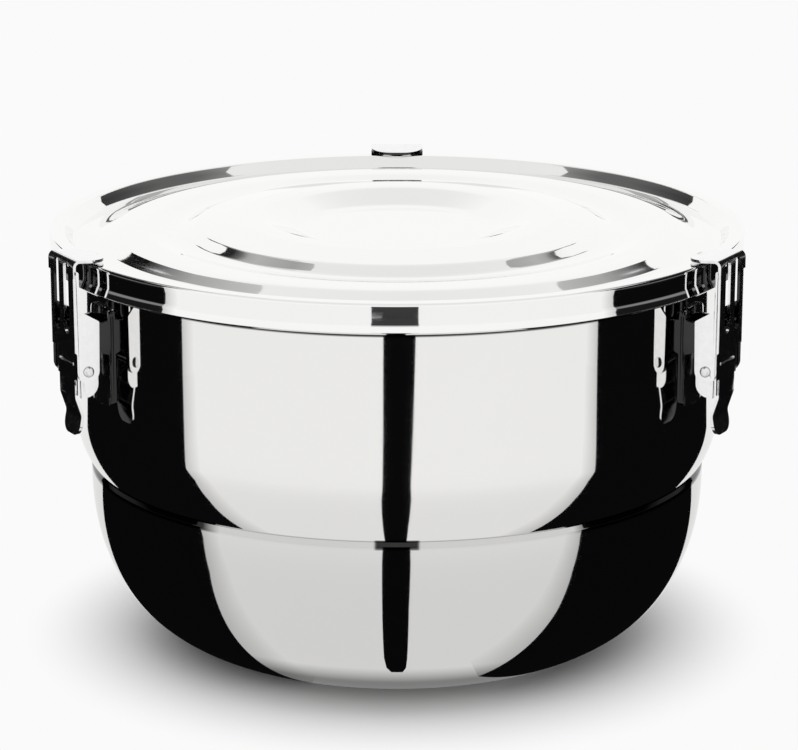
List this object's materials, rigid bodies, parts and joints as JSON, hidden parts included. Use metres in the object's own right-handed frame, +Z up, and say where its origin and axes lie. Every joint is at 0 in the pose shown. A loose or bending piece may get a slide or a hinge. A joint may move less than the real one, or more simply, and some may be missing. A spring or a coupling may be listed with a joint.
{
  "type": "stainless steel food container",
  "caption": "Round mirror-polished steel food container with a two-tier body, a stepped lid with a sealing ring, and toggle latches that hook over the lid rim.",
  "frame": {"origin": "on the container's axis, in the plane that its flat foot rests on", "axes": "+Z up along the axis, -Y towards the front between two of the latches, the third latch at +Y"},
  "size_m": [0.25, 0.257, 0.1555],
  "materials": {
    "body_steel": "mirror polished stainless steel",
    "lid_steel": "mirror polished stainless steel",
    "latch_steel": "polished pressed steel",
    "pin_steel": "polished",
    "silicone": "translucent white silicone"
  },
  "bodies": {
    "container": {"body_shell": "body_steel", "lid_shell": "lid_steel", "sealing_ring": "silicone", "left_bracket": "latch_steel", "left_lever_pin": "pin_steel", "right_bracket": "latch_steel", "right_lever_pin": "pin_steel", "back_bracket": "latch_steel", "back_lever_pin": "pin_steel"},
    "left_lever": {"left_lever": "latch_steel", "left_hook_rivet": "pin_steel"},
    "left_hook": {"left_hook": "latch_steel"},
    "right_lever": {"right_lever": "latch_steel", "right_hook_rivet": "pin_steel"},
    "right_hook": {"right_hook": "latch_steel"},
    "back_lever": {"back_lever": "latch_steel", "back_hook_rivet": "pin_steel"},
    "back_hook": {"back_hook": "latch_steel"}
  },
  "joints": [
    {"name": "left_latch", "type": "hinge", "parent": "container", "child": "left_lever", "pos_m": [-0.11016, -0.0636, 0.1275], "axis": [-0.5, 0.866, 0], "range_deg": [0, 90]},
    {"name": "left_hook_swing", "type": "hinge", "parent": "left_lever", "child": "left_hook", "pos_m": [-0.11016, -0.0636, 0.1163], "axis": [-0.5, 0.866, 0], "range_deg": [-101, 0]},
    {"name": "right_latch", "type": "hinge", "parent": "container", "child": "right_lever", "pos_m": [0.11016, -0.0636, 0.1275], "axis": [-0.5, -0.866, 0], "range_deg": [0, 90]},
    {"name": "right_hook_swing", "type": "hinge", "parent": "right_lever", "child": "right_hook", "pos_m": [0.11016, -0.0636, 0.1163], "axis": [-0.5, -0.866, 0], "range_deg": [-101, 0]},
    {"name": "back_latch", "type": "hinge", "parent": "container", "child": "back_lever", "pos_m": [0, 0.1272, 0.1275], "axis": [1, 0, 0], "range_deg": [0, 90]},
    {"name": "back_hook_swing", "type": "hinge", "parent": "back_lever", "child": "back_hook", "pos_m": [0, 0.1272, 0.1163], "axis": [1, 0, 0], "range_deg": [-101, 0]}
  ],
  "couplings": [
    {"joint": "left_hook_swing", "follows": "left_latch", "ratio": -1.12},
    {"joint": "right_hook_swing", "follows": "right_latch", "ratio": -1.12},
    {"joint": "back_hook_swing", "follows": "back_latch", "ratio": -1.12}
  ]
}
